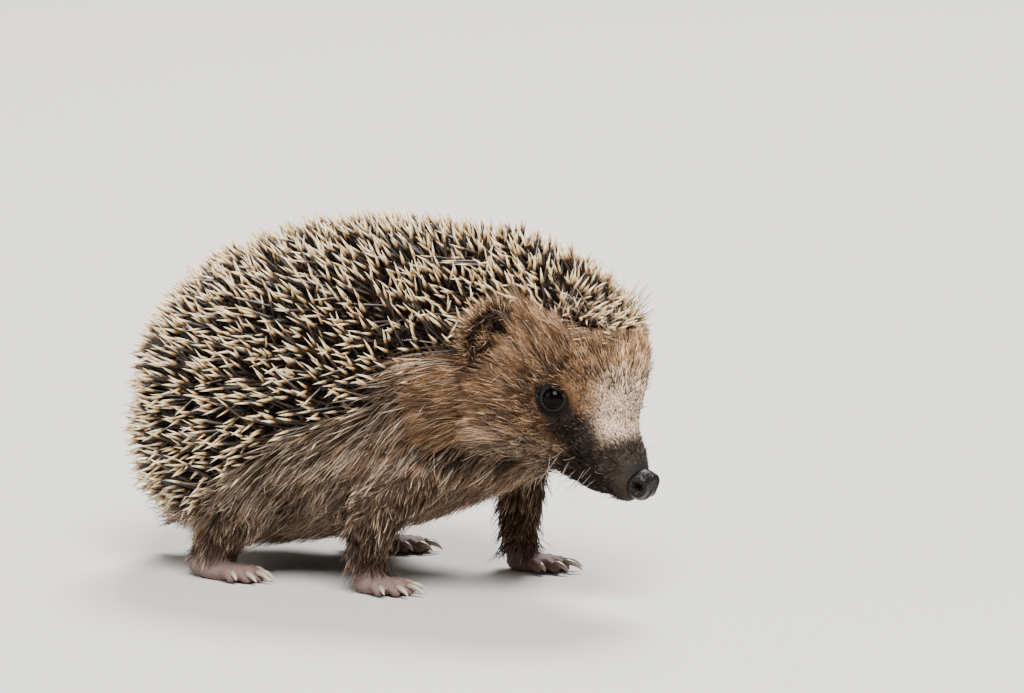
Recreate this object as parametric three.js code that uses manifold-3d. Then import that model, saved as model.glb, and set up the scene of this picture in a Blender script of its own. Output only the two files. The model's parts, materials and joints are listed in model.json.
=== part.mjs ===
// A young European hedgehog, life size, standing still on its four feet with its nose lowered.
//
// The solids give the animal's outline to the tips of its quills and fur. The body is modelled whole, as soft
// masses that flow into each other, and is then parted by thin cuts into the pieces that a person would name.
//
// Millimetres, +Z up. +X runs from tail to head along the trunk, and +Y is the animal's left.

import * as THREE from "three";
import { mergeVertices } from "three/addons/utils/BufferGeometryUtils.js";
import Module from "manifold-3d";

const wasm = await Module();
wasm.setup();

// ---------------------------------------------------------------- driving dimensions

const GAP = 0.3; // between two neighbouring pieces
const FLOOR = 0; // the level of the soles
const BACK_HEIGHT = 96; // floor to the quill tips over the back
const BELLY_CLEARANCE = 13; // floor to the fur under the belly
const BODY_WIDTH = 92; // across the quill tips at mid trunk
const RUMP_REACH = 69; // from mid trunk back to the rearmost quill tips
const ANKLE_HEIGHT = 6.5; // where a leg is parted from its foot

const HEAD = {
  at: new THREE.Vector3(54.5, -8, 57.5), // the middle of the braincase
  turn: THREE.MathUtils.degToRad(-12), // a little to the animal's right
  bow: THREE.MathUtils.degToRad(28.5), // the muzzle's slope below level
  noseReach: 44.5, // braincase to nose tip
  eyeForward: 15.8,
  eyeAside: 13.6,
  eyeUp: 3,
  eyeRadius: 3.3,
  earBack: 2.5,
  earAside: 20.5,
  earUp: 7,
};

// ---------------------------------------------------------------- helpers

const vec = (x, y, z) => new THREE.Vector3(x, y, z);

// A closed geometry as a solid for joining and cutting.
function solid(geometry) {
  const bare = geometry.clone();
  bare.deleteAttribute("normal");
  bare.deleteAttribute("uv");
  const merged = mergeVertices(bare, 1e-4);
  return new wasm.Manifold(
    new wasm.Mesh({
      numProp: 3,
      vertProperties: new Float32Array(merged.attributes.position.array),
      triVerts: new Uint32Array(merged.index.array),
    }),
  );
}

function join(solids) {
  return solids.reduce((whole, next) => whole.add(next));
}

// How far a point lies outside an ellipsoid mass, about, in mm; negative inside.
function outside(mass, point) {
  const scaled = point.clone().sub(mass.at).divide(mass.radii);
  const k0 = scaled.length();
  const k1 = scaled.divide(mass.radii).length();
  return k1 > 0 ? (k0 * (k0 - 1)) / k1 : -mass.radii.x;
}

// The least of several distances, rounded off where two are nearly alike, over about the blend distance.
function softLeast(distances, blend) {
  return -blend * Math.log(distances.reduce((total, distance) => total + Math.exp(-distance / blend), 0));
}

// A capsule bent along a line. Each of its points lies on a ray from the line, as far out as reach says for
// the ray's start, its direction and its share of the way along. Each ring faces along a stretch of the line
// that reaches the steady share either way, so that the rings fan out evenly round a bend and never cross.
function bentCapsule(line, { sides, rows, caps, steady, across = vec(0, 1, 0) }, reach) {
  const geometry = new THREE.CapsuleGeometry(1, 1, caps, sides, rows);
  const position = geometry.attributes.position;
  for (let i = 0; i < position.count; i++) {
    const height = position.getY(i) + 0.5;
    const share = THREE.MathUtils.clamp(height, 0, 1);
    const behind = line.getPoint(Math.max(share - steady, 0));
    const along = line.getPoint(Math.min(share + steady, 1)).sub(behind).normalize();
    const side = across.clone().addScaledVector(along, -across.dot(along)).normalize();
    const up = side.clone().cross(along);
    const ray = along
      .multiplyScalar(height - share)
      .addScaledVector(side, position.getX(i))
      .addScaledVector(up, position.getZ(i))
      .normalize();
    const start = line.getPoint(share);
    position.setXYZ(i, ...start.clone().addScaledVector(ray, reach(start, ray, share)).toArray());
  }
  return geometry;
}

// A bent capsule that is as thick at each joint as its girth says.
function limb(joints, girths, { sides = 10, rows = 6, caps = 2, across } = {}) {
  const STEADY = 0.35;
  const girthAt = (share) => {
    const place = share * (girths.length - 1);
    const before = Math.min(Math.floor(place), girths.length - 2);
    return THREE.MathUtils.lerp(girths[before], girths[before + 1], place - before);
  };
  const form = { sides, rows, caps, across, steady: STEADY };
  return bentCapsule(new THREE.CatmullRomCurve3(joints), form, (start, ray, share) => girthAt(share));
}

// How far a ray runs before the distance that the field gives rises to the level.
function runToLevel(start, ray, field, level) {
  const STEP = 2;
  const FARTHEST = 90;
  const HALVINGS = 12;
  const at = (distance) => field(start.clone().addScaledVector(ray, distance));
  let outer = STEP;
  while (outer < FARTHEST && at(outer) < level) outer += STEP;
  let inner = outer - STEP;
  for (let n = 0; n < HALVINGS; n++) {
    const middle = (inner + outer) / 2;
    if (at(middle) < level) inner = middle;
    else outer = middle;
  }
  return outer;
}

// A large block with one face through the point, standing on the side that the normal points to.
function blockBeyond(point, normal) {
  const SIZE = 400;
  const geometry = new THREE.BoxGeometry(SIZE, SIZE, SIZE);
  geometry.translate(0, 0, SIZE / 2);
  const facing = new THREE.Quaternion().setFromUnitVectors(vec(0, 0, 1), normal.clone().normalize());
  geometry.applyQuaternion(facing);
  geometry.translate(...point.toArray());
  return solid(geometry);
}

// ---------------------------------------------------------------- the whole body, to the tips of its coat

const TRUNK_BLEND = 5;
const TRUNK_MASSES = [
  { name: "rump", at: vec(-30, 0, 47), radii: vec(RUMP_REACH - 32.5, BODY_WIDTH * 0.44, 37) },
  { name: "quill skirt", at: vec(-38.5, 0, 27), radii: vec(RUMP_REACH - 41, BODY_WIDTH * 0.38, 19) },
  { name: "back", at: vec(-4, 0, 54), radii: vec(42, BODY_WIDTH * 0.45, BACK_HEIGHT - 57) },
  { name: "shoulders", at: vec(22, -1, 57), radii: vec(30, BODY_WIDTH * 0.39, BACK_HEIGHT - 61) },
  { name: "nape", at: vec(43, -5, 70), radii: vec(22, 18, 22) },
  { name: "neck", at: vec(41, -4, 47), radii: vec(17, 23.5, 19) },
  { name: "belly", at: vec(-6, 0, BELLY_CLEARANCE + 18), radii: vec(38, BODY_WIDTH * 0.34, 16) },
];

// These lie in the head's own frame: from the middle of the braincase, +X to the nose, +Y to the left.
const HEAD_BLEND = 3;
const HEAD_MASSES = [
  { name: "braincase", at: vec(-4, 0, 1), radii: vec(20, 15.5, 17) },
  { name: "quilled crown", at: vec(0, 0, 12.5), radii: vec(26.5, 19, 20.5) },
  { name: "right cheek", at: vec(2, -9, -8), radii: vec(14.5, 10.5, 13) },
  { name: "left cheek", at: vec(2, 9, -8), radii: vec(14.5, 10.5, 13) },
  { name: "forehead", at: vec(11, 0, 3), radii: vec(13.5, 14.5, 12) },
  { name: "muzzle", at: vec(22, 0, -5.5), radii: vec(13, 7.5, 8) },
  { name: "snout", at: vec(HEAD.noseReach - 12, 0, -7.8), radii: vec(9.5, 4.8, 4.8) },
  { name: "jaw", at: vec(17, 0, -12), radii: vec(15, 6.5, 5.5) },
  { name: "throat", at: vec(5, 0, -12), radii: vec(14, 9, 10) },
];

const headPose = new THREE.Matrix4().compose(
  HEAD.at,
  new THREE.Quaternion().setFromEuler(new THREE.Euler(0, HEAD.bow, HEAD.turn, "ZYX")),
  vec(1, 1, 1),
);
const outOfHead = headPose.clone().invert();
const inHead = (x, y, z) => vec(x, y, z).applyMatrix4(headPose);

function outsideBody(point) {
  const trunk = TRUNK_MASSES.map((mass) => outside(mass, point));
  const pointInHead = point.clone().applyMatrix4(outOfHead);
  const head = HEAD_MASSES.map((mass) => outside(mass, pointInHead));
  return softLeast([softLeast(trunk, TRUNK_BLEND), softLeast(head, HEAD_BLEND)], HEAD_BLEND);
}

// From the middle of the rump to the middle of the snout.
const SPINE = new THREE.CatmullRomCurve3([
  vec(-34, 0, 44),
  vec(-12, 0, 49),
  vec(12, -1, 52),
  vec(31, -3, 53),
  vec(45, -6, 51.5),
  inHead(3, 0, -3),
  inHead(15, 0, -5.5),
  inHead(26, 0, -7.5),
  inHead(HEAD.noseReach - 9, 0, -8.2),
]);
const BODY_FORM = { sides: 26, rows: 26, caps: 6, steady: 0.18 };

const body = (grow) =>
  solid(bentCapsule(SPINE, BODY_FORM, (start, ray) => runToLevel(start, ray, outsideBody, grow)));

// ---------------------------------------------------------------- cuts

// The lower edge of the quilled mantle, from under the tail, over the flank and above the ear to the brow, as
// seen from the side. Everything above it is one piece, as the quilled skin of the real animal is.
const MANTLE_EDGE = [
  [-70, 8],
  [-46, 10],
  [-31, 17],
  [-9, 31],
  [15, 42],
  [38, 54],
  [48, 66],
  [57, 75],
  [66, 72],
  [77, 68],
  [100, 66],
];

function mantleBlock(lowerBy) {
  const edge = new THREE.SplineCurve(MANTLE_EDGE.map(([x, z]) => new THREE.Vector2(x, z - lowerBy)));
  const ABOVE_ALL = 200;
  const outline = new THREE.Shape(edge.getPoints(24));
  outline.lineTo(MANTLE_EDGE.at(-1)[0], ABOVE_ALL);
  outline.lineTo(MANTLE_EDGE[0][0], ABOVE_ALL);
  outline.closePath();
  const ACROSS = 160;
  const geometry = new THREE.ExtrudeGeometry(outline, { depth: ACROSS, bevelEnabled: false, steps: 1 });
  geometry.translate(0, 0, -ACROSS / 2);
  geometry.rotateX(Math.PI / 2);
  return solid(geometry);
}

// Planes that part the furred body into trunk, neck and head.
const SHOULDER_CUT = { at: vec(34, 0, 40), normal: vec(1, 0, 0.1) };
const NAPE_CUT = { at: vec(46, 0, 56), normal: vec(1, -0.2, -0.3) };
const THROAT_CUT = { at: inHead(0, 0, -18), normal: inHead(0, 0, 1).sub(HEAD.at) };

function beyondCut(cut, by) {
  const normal = cut.normal.clone().normalize();
  return blockBeyond(cut.at.clone().addScaledVector(normal, by), normal);
}

// ---------------------------------------------------------------- face pieces

const SIDES = [
  { word: "right", sign: -1 },
  { word: "left", sign: 1 },
];

const eyeball = (sign, grow) =>
  solid(
    new THREE.SphereGeometry(HEAD.eyeRadius + grow, 12, 8)
      .translate(HEAD.eyeForward, sign * HEAD.eyeAside, HEAD.eyeUp)
      .applyMatrix4(headPose),
  );

const NOSE = { length: 7.6, width: 8.6, height: 7.4 };

const nosePad = (grow) =>
  solid(
    new THREE.SphereGeometry(1, 12, 9)
      .scale(NOSE.length / 2 + grow, NOSE.width / 2 + grow, NOSE.height / 2 + grow)
      .translate(HEAD.noseReach - NOSE.length / 2, 0, -8.4)
      .applyMatrix4(headPose),
  );

// A rounded flap, hollowed on the side that faces outwards and forwards.
const EAR = { height: 17, width: 12.5, depth: 7, wall: 1.6, hollowAhead: 2.7, turn: 1.0, lean: 0.3 };

function ear(sign) {
  const flap = new THREE.SphereGeometry(1, 12, 8).scale(EAR.depth / 2, EAR.width / 2, EAR.height / 2);
  const hollow = new THREE.SphereGeometry(1, 10, 7)
    .scale(EAR.depth / 2, EAR.width / 2 - EAR.wall, EAR.height / 2 - EAR.wall)
    .translate(EAR.hollowAhead, 0, 0);
  const facing = new THREE.Matrix4()
    .makeRotationFromEuler(new THREE.Euler(0, EAR.lean, sign * EAR.turn, "ZYX"))
    .setPosition(-HEAD.earBack, sign * HEAD.earAside, HEAD.earUp);
  const place = headPose.clone().multiply(facing);
  return solid(flap.applyMatrix4(place)).subtract(solid(hollow.applyMatrix4(place)));
}

// ---------------------------------------------------------------- legs and feet

// Each leg from where it leaves the body to the heel of its foot, with the way its toes point.
const LEGS = {
  foreleg_right: {
    foot: "forefoot_right",
    joints: [vec(30, -22, 34), vec(19, -29, 21), vec(13.5, -26, 9), vec(14.5, -25.5, 3.6)],
    girths: [9.5, 7.6, 5.6, 4.2],
    toesTurn: -4,
    kind: "fore",
  },
  foreleg_left: {
    foot: "forefoot_left",
    joints: [vec(30, 18, 36), vec(29, 25, 22), vec(30, 22, 9), vec(31.5, 21.5, 3.6)],
    girths: [9.5, 7.6, 5.6, 4.2],
    toesTurn: 6,
    kind: "fore",
  },
  hindleg_right: {
    foot: "hindfoot_right",
    joints: [vec(-26, -24, 28), vec(-22, -29, 18), vec(-31, -27, 9), vec(-34, -26.5, 3.8)],
    girths: [12, 10, 6.8, 4.4],
    toesTurn: -10,
    kind: "hind",
  },
  hindleg_left: {
    foot: "hindfoot_left",
    joints: [vec(-20, 24, 28), vec(-13, 29, 18), vec(-18, 27, 9), vec(-20, 26.5, 3.8)],
    girths: [12, 10, 6.8, 4.4],
    toesTurn: 12,
    kind: "hind",
  },
};

const FEET = {
  fore: { length: 14, width: 10, height: 5.2, toe: 6.2, toeGirth: 1.55, claw: 5.2, fan: 15 },
  hind: { length: 21, width: 9.5, height: 5.4, toe: 5.6, toeGirth: 1.6, claw: 4.6, fan: 10 },
};
const HEEL = 4.5; // how far a palm reaches behind the end of its leg
const SUNK = 0.7; // how much of a palm's roundness the flat sole takes off
const TOES = 5;
const TOE = {
  rootBack: 8.2,
  rootCurve: 0.55,
  spacing: 0.19,
  shortening: 0.1, // the outer toes are shorter and start further back
  rootUp: 2.1,
  knuckleUp: 2.4,
  tipUp: 1.25,
};
const TOE_TAPER = [1, 1, 0.85];
const CLAW = { ahead: 0.3, rootUp: 2.1, archShare: 0.55, archUp: 2.2, tipUp: 0.85 };
const CLAW_GIRTHS = [0.85, 0.64, 0.26];

// The parts of one foot, laid out along +X from its heel at the origin, then set down under its leg.
function footPlan(leg) {
  const heel = leg.joints.at(-1);
  const size = FEET[leg.kind];
  const place = new THREE.Matrix4()
    .makeRotationZ(THREE.MathUtils.degToRad(leg.toesTurn))
    .setPosition(heel.x, heel.y, FLOOR);
  const palm = new THREE.SphereGeometry(1, 10, 7)
    .scale(size.length / 2, size.width / 2, size.height / 2)
    .translate(size.length / 2 - HEEL, 0, size.height / 2 - SUNK)
    .applyMatrix4(place);
  const toes = [];
  const claws = [];
  for (let n = 0; n < TOES; n++) {
    const share = n - (TOES - 1) / 2; // -2 to 2 across the foot
    const angle = THREE.MathUtils.degToRad(share * size.fan);
    const ahead = vec(Math.cos(angle), Math.sin(angle), 0);
    const across = vec(-Math.sin(angle), Math.cos(angle), 0);
    const lengthShare = 1 - TOE.shortening * share * share;
    const rootAhead = size.length - TOE.rootBack - TOE.rootCurve * share * share;
    const root = vec(rootAhead, share * size.width * TOE.spacing, TOE.rootUp);
    const tip = root.clone().addScaledVector(ahead, size.toe * lengthShare).setZ(TOE.tipUp);
    const knuckle = root.clone().lerp(tip, 0.5).setZ(TOE.knuckleUp);
    const toeGirths = TOE_TAPER.map((taper) => size.toeGirth * taper);
    toes.push(limb([root, knuckle, tip], toeGirths, { sides: 5, rows: 2, caps: 1 }).applyMatrix4(place));

    const reach = size.claw * lengthShare;
    const clawRoot = tip.clone().addScaledVector(ahead, CLAW.ahead).setZ(CLAW.rootUp);
    const arch = clawRoot.clone().addScaledVector(ahead, reach * CLAW.archShare).setZ(CLAW.archUp);
    const point = clawRoot.clone().addScaledVector(ahead, reach).setZ(CLAW.tipUp);
    const claw = limb([clawRoot, arch, point], CLAW_GIRTHS, { sides: 5, rows: 2, caps: 1, across });
    claws.push(claw.applyMatrix4(place));
  }
  return { palm, toes, claws };
}

// ---------------------------------------------------------------- tail

const TAIL = [vec(-44, 0, 16), vec(-54, 0, 11.5), vec(-61, 0, 9)];
const TAIL_GIRTHS = [4.2, 3.2, 1.6];

// ---------------------------------------------------------------- assembly

const COATS = {
  quills: new THREE.MeshStandardMaterial({ color: 0x5b4a38, roughness: 0.6, metalness: 0 }),
  flank_fur: new THREE.MeshStandardMaterial({ color: 0x9c7f62, roughness: 0.85, metalness: 0 }),
  face_fur: new THREE.MeshStandardMaterial({ color: 0xa98563, roughness: 0.85, metalness: 0 }),
  leg_fur: new THREE.MeshStandardMaterial({ color: 0x85705c, roughness: 0.85, metalness: 0 }),
  ear_skin: new THREE.MeshStandardMaterial({ color: 0x5c4a3c, roughness: 0.8, metalness: 0 }),
  bare_skin: new THREE.MeshStandardMaterial({ color: 0x4a3a33, roughness: 0.6, metalness: 0 }),
  nose_skin: new THREE.MeshStandardMaterial({ color: 0x15110f, roughness: 0.25, metalness: 0 }),
  eye: new THREE.MeshStandardMaterial({ color: 0x070504, roughness: 0.05, metalness: 0 }),
  claw: new THREE.MeshStandardMaterial({ color: 0xb9a58c, roughness: 0.4, metalness: 0 }),
};

const hedgehog = new THREE.Group();

// What a cut leaves is its largest piece; a sliver that a limb leaves on the far side of the body is dropped.
function place(name, made, coat) {
  const largest = made.decompose().reduce((most, next) => (next.volume() > most.volume() ? next : most));
  const { numProp, numVert, vertProperties, triVerts } = largest.getMesh();
  const points = new Float32Array(numVert * 3);
  for (let i = 0; i < numVert; i++) points.set(vertProperties.subarray(i * numProp, i * numProp + 3), i * 3);
  const geometry = new THREE.BufferGeometry()
    .setAttribute("position", new THREE.BufferAttribute(points, 3))
    .setIndex(new THREE.BufferAttribute(triVerts, 1));
  geometry.computeVertexNormals();
  const mesh = new THREE.Mesh(geometry, COATS[coat]);
  mesh.name = name;
  hedgehog.add(mesh);
  return mesh;
}

const wholeBody = body(0);
const clearance = body(GAP);
const furred = wholeBody.subtract(mantleBlock(GAP));

place("mantle", wholeBody.intersect(mantleBlock(0)), "quills");
const pastNeck = (by) => beyondCut(NAPE_CUT, by).intersect(beyondCut(THROAT_CUT, by));
const facePieces = (grow) => join([nosePad(grow), eyeball(-1, grow), eyeball(1, grow)]);

place("trunk", furred.subtract(beyondCut(SHOULDER_CUT, 0)), "flank_fur");
place("neck", furred.intersect(beyondCut(SHOULDER_CUT, GAP)).subtract(pastNeck(0)), "flank_fur");
place("head", furred.intersect(pastNeck(GAP)).subtract(facePieces(GAP)), "face_fur");
place("nose", nosePad(0), "nose_skin");

for (const { word, sign } of SIDES) {
  place("eye_" + word, eyeball(sign, 0), "eye");
  place("ear_" + word, ear(sign).subtract(clearance), "ear_skin");
}

const underFloor = blockBeyond(vec(0, 0, FLOOR), vec(0, 0, -1));
for (const [name, leg] of Object.entries(LEGS)) {
  const shaft = solid(limb(leg.joints, leg.girths));
  const { palm, toes, claws } = footPlan(leg);
  const aboveAnkle = blockBeyond(vec(0, 0, ANKLE_HEIGHT), vec(0, 0, 1));
  const belowAnkle = blockBeyond(vec(0, 0, ANKLE_HEIGHT - GAP), vec(0, 0, -1));
  place(name, shaft.intersect(aboveAnkle).subtract(clearance), "leg_fur");
  const flesh = join([shaft.intersect(belowAnkle), solid(palm), ...toes.map(solid)]).subtract(underFloor);
  const clawSolids = claws.map(solid);
  place(leg.foot, flesh, "bare_skin");
  clawSolids.forEach((claw, n) => place(leg.foot + "_claw_" + (n + 1), claw.subtract(flesh), "claw"));
}

place("tail", solid(limb(TAIL, TAIL_GIRTHS, { sides: 8, rows: 4 })).subtract(clearance), "leg_fur");

// The row's origin is under the middle of the whole animal, on the floor.
const extent = new THREE.Box3().setFromObject(hedgehog);
const middle = extent.getCenter(vec(0, 0, 0));
hedgehog.position.set(-middle.x, -middle.y, -extent.min.z);

export default hedgehog;
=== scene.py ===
# %% [markdown]
# # A young European hedgehog
#
# The animal stands still with its nose lowered. The frame gives its true outline, to the tips of the coat. This
# notebook puts one skin inside that outline, sculpts the face on it, and grows the quills and the fur over it as
# thin solid strands. Everything is in metres, with +X to the head, +Y to the animal's left and +Z up.

import json
import math

import bmesh
import bpy
import numpy as np
from mathutils import Matrix, Vector
from mathutils.bvhtree import BVHTree

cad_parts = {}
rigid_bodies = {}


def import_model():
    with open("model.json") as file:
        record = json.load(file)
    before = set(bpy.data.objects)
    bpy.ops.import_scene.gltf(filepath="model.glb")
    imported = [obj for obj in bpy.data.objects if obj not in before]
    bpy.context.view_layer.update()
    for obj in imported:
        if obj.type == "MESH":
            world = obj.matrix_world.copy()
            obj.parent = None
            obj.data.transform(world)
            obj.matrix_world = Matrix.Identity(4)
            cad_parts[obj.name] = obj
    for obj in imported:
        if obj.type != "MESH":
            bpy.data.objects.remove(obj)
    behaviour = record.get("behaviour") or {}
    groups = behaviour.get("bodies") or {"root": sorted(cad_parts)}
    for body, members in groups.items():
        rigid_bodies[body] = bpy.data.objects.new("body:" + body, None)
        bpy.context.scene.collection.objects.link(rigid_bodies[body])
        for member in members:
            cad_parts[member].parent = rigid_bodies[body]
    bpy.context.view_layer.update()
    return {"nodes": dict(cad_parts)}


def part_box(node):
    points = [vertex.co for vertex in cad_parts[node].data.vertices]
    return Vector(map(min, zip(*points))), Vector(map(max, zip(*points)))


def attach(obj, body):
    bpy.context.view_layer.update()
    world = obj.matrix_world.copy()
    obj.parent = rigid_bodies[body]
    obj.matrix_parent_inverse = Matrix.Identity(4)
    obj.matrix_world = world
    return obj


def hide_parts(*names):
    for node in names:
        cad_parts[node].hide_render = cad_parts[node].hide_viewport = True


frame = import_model()
MM = 0.001
SIDES = {"right": -1, "left": 1}
print("nodes in the frame:", len(frame["nodes"]))

# %% [markdown]
# ## The head's own axes
#
# The head is turned and bowed, so nothing on the face lines up with the room. The two eyes and the nose are
# enough to find it: one axis runs from eye to eye, and the line from the brow to the nose drops 24 degrees below
# the skull's own forward axis. Points of the face are then given as forward, left and up from the middle of the
# braincase.


# %% Head axes
def middle(node):
    low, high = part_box(node)
    return (low + high) / 2


NOSE_DROP = math.radians(24)
EYES_AHEAD = 15.8 * MM
EYES_ABOVE = 3 * MM

eye_middle = {side: middle("eye_" + side) for side in SIDES}
nose_middle = middle("nose")
head_left = (eye_middle["left"] - eye_middle["right"]).normalized()
brow = (eye_middle["left"] + eye_middle["right"]) / 2
head_ahead = Matrix.Rotation(-NOSE_DROP, 3, head_left) @ (nose_middle - brow).normalized()
head_above = head_ahead.cross(head_left)
skull = brow - head_ahead * EYES_AHEAD - head_above * EYES_ABOVE
HEAD_AXES = np.array([head_ahead, head_left, head_above])


def in_head(points):
    """Points as millimetres forward, left and up from the middle of the braincase."""
    return (points - np.array(skull)) @ HEAD_AXES.T / MM


def from_head(forward, left, up):
    """A point of the room from millimetres in the head."""
    return skull + (head_ahead * forward + head_left * left + head_above * up) * MM


print("nose in the head, mm:", in_head(np.array(nose_middle)).round(1))

# %% [markdown]
# ## Arithmetic on many points at once
#
# The skin and the coat have hundreds of thousands of points, so they are handled as arrays.


# %% Array helpers
def unit(vectors):
    return vectors / np.maximum(np.linalg.norm(vectors, axis=-1, keepdims=True), 1e-12)


def dot(a, b):
    return (a * b).sum(-1)


def rise(low, high, values):
    """0 below low, 1 above high, and a smooth step between."""
    share = np.clip((values - low) / (high - low), 0, 1)
    return share * share * (3 - 2 * share)


def bump(values, middle_value, width):
    """1 at the middle value, falling smoothly to either side."""
    return np.exp(-(((values - middle_value) / width) ** 2))


def flattened(vectors, normals):
    """The part of each vector that lies along the surface, one long."""
    return unit(vectors - normals * dot(vectors, normals)[..., None])


def read(items, field, width=3):
    values = np.empty(len(items) * width, np.float32)
    items.foreach_get(field, values)
    return values.reshape(-1, width).astype(float) if width > 1 else values.astype(float)


def edge_ends(mesh):
    ends = np.empty(len(mesh.edges) * 2, np.int32)
    mesh.edges.foreach_get("vertices", ends)
    return ends.reshape(-1, 2)


def carry(mesh, name, values):
    """Gives each point of the mesh a value, or a colour where there are three per point."""
    if values.ndim == 1:
        kind, field = "FLOAT", "value"
    else:
        kind, field = "FLOAT_COLOR", "color"
        values = np.column_stack([values, np.ones(len(values))]).ravel()
    mesh.attributes.new(name, kind, "POINT").data.foreach_set(field, values.astype(np.float32))


# %% [markdown]
# ## One skin for all the flesh
#
# On the real animal a single skin runs over the trunk, the head and the legs. The solids of the flesh are copied,
# swollen just enough to close the thin gaps between them, and remade as one surface. The eyes and the nose are
# taken along, so that the surface is whole where they sit. Their own pieces cover it later.

# %% Join the flesh
LEGS = [end + "_" + side for end in ("foreleg", "hindleg") for side in SIDES]
FEET = [end + "_" + side for end in ("forefoot", "hindfoot") for side in SIDES]
FLESH = ["mantle", "trunk", "neck", "head", "tail"] + LEGS + FEET
SWELL = 0.25 * MM
VOXEL = 0.5 * MM


def show(mesh, name):
    made = bpy.data.objects.new(name, mesh)
    bpy.context.scene.collection.objects.link(made)
    return made


def as_mesh(shape, name):
    """A mesh from a bmesh, which is freed."""
    mesh = bpy.data.meshes.new(name)
    shape.to_mesh(mesh)
    shape.free()
    return mesh


def settle(made):
    """Makes the modifiers' result the object's own mesh."""
    graph = bpy.context.evaluated_depsgraph_get()
    mesh = bpy.data.meshes.new_from_object(made.evaluated_get(graph))
    made.modifiers.clear()
    made.data = mesh


joined = bmesh.new()
for node in FLESH + ["nose", "eye_right", "eye_left"]:
    joined.from_mesh(frame["nodes"][node].data)
bmesh.ops.remove_doubles(joined, verts=joined.verts, dist=0.001 * MM)
joined.normal_update()
for vertex in joined.verts:
    vertex.co += vertex.normal * SWELL

skin = show(as_mesh(joined, "skin"), "skin")
remake = skin.modifiers.new("one surface", "REMESH")
remake.mode = "VOXEL"
remake.voxel_size = VOXEL
settle(skin)
outline = BVHTree.FromObject(skin, bpy.context.evaluated_depsgraph_get())
print("skin before the inset:", len(skin.data.vertices), "points")

# %% [markdown]
# ## Where each part of the coat lies
#
# Each point of the skin takes the name of the nearest solid, and the coat's depth will follow from it. It could
# be painted by hand, but the solids already say where the back, the head and the legs are.

# %% Label the skin
NODE_DEPTH = {
    "mantle": 12, "trunk": 6.5, "neck": 6, "head": 2.4, "tail": 1, "foreleg": 1.6, "hindleg": 2.6,
    "forefoot": 0.05, "hindfoot": 0.05, "nose": 0.8, "eye": 0.2,
}
KINDS = list(NODE_DEPTH)

solid_points, solid_faces, face_kind = [], [], []
for node in FLESH + ["nose", "eye_right", "eye_left"]:
    mesh = frame["nodes"][node].data
    start = len(solid_points)
    solid_points += [v.co.copy() for v in mesh.vertices]
    solid_faces += [[start + i for i in p.vertices] for p in mesh.polygons]
    face_kind += [KINDS.index(node.split("_")[0])] * len(mesh.polygons)
solids = BVHTree.FromPolygons(solid_points, solid_faces)

points = read(skin.data.vertices, "co")
kind = np.array([face_kind[solids.find_nearest(Vector(p))[2]] for p in points])
print("points of each kind:", dict(zip(KINDS, np.bincount(kind).tolist())))

# %% [markdown]
# ## Spread a value over the skin
#
# A real coat thins out and never steps. Each value is therefore replaced by the mean of its neighbours, again and
# again, which spreads it further with every pass.

# %% Spread over neighbours
edges = edge_ends(skin.data)


def neighbours_mean(values):
    """The mean of each point's neighbours, for one value or several per point."""
    count = len(values)
    columns = values.reshape(count, -1)
    start, end = edges.T
    degree = np.bincount(edges.ravel(), minlength=count)
    mean = [
        np.bincount(start, column[end], count) + np.bincount(end, column[start], count)
        for column in columns.T
    ]
    return (np.stack(mean, 1) / np.maximum(degree, 1)[:, None]).reshape(values.shape)


def spread(values, passes):
    for _ in range(passes):
        values = neighbours_mean(values)
    return values


print("edges of the skin:", len(edges))

# %% [markdown]
# ## Where the quills end
#
# The quilled back ends in a clear line. It climbs from the rump along the flank to the shoulder, drops behind the
# ear, passes over it, and crosses the brow. It is given as (x, height) along the flank and as (forward, up) on
# the head, both in millimetres, and one runs into the other at the nape.

# %% Edge of the quills
BODY_EDGE = [(-68, 12), (-55, 15), (-45, 18), (-32, 27), (-23, 33), (-13, 40), (1, 44), (6, 48), (20, 57), (28, 65)]
HEAD_EDGE = [
    (-24, -29), (-22, -23), (-15, -9), (-12, 1), (-9, 7.5), (-8.5, 16), (-4, 18.5), (2, 21.3), (9, 24), (20, 27.5),
]
head_points = in_head(points)
over_body = points[:, 2] / MM - np.interp(points[:, 0] / MM, *np.transpose(BODY_EDGE))
over_head = head_points[:, 2] - np.interp(head_points[:, 0], *np.transpose(HEAD_EDGE))
over_edge = over_body + (over_head - over_body) * rise(-20, -10, head_points[:, 0])
print("share of the skin above the edge:", round(float((over_edge > 0).mean()), 2))

# %% [markdown]
# ## The coat's depth
#
# Quills stand about 12 mm deep over the back and less on the head and along their edge. The hair of the flank is
# about 6.5 mm deep, that of the cheeks and the forehead a few, and that of the muzzle half a millimetre.

# %% Coat depth
DEPTH_PASSES = 90
on_mantle = kind == KINDS.index("mantle")
is_head = kind == KINDS.index("head")
depth = np.array(list(NODE_DEPTH.values()), float)[kind]
face_depth = 0.5 + 3.6 * rise(20, 0, head_points[:, 0]) + 1.2 * rise(8, 16, head_points[:, 2])
face_depth += 2.5 * rise(17, 22, head_points[:, 2])
depth[is_head] = face_depth[is_head]
depth[on_mantle] -= 3.5 * rise(-16, 6, head_points[on_mantle, 0])
depth[on_mantle] -= 5 * rise(3, -1, over_edge[on_mantle])
depth = spread(depth, DEPTH_PASSES)
print("coat depth, mm:", depth.min().round(2), "to", depth.max().round(2))

# %% [markdown]
# ## Masks for the parts of the coat
#
# Each mask is 1 on its own part of the skin and fades to 0 beyond it, so that colours and hair change as
# gradually as they do on the animal. The feet have a narrow fade, because their skin is bare right up to the
# leg's hair.

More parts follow.
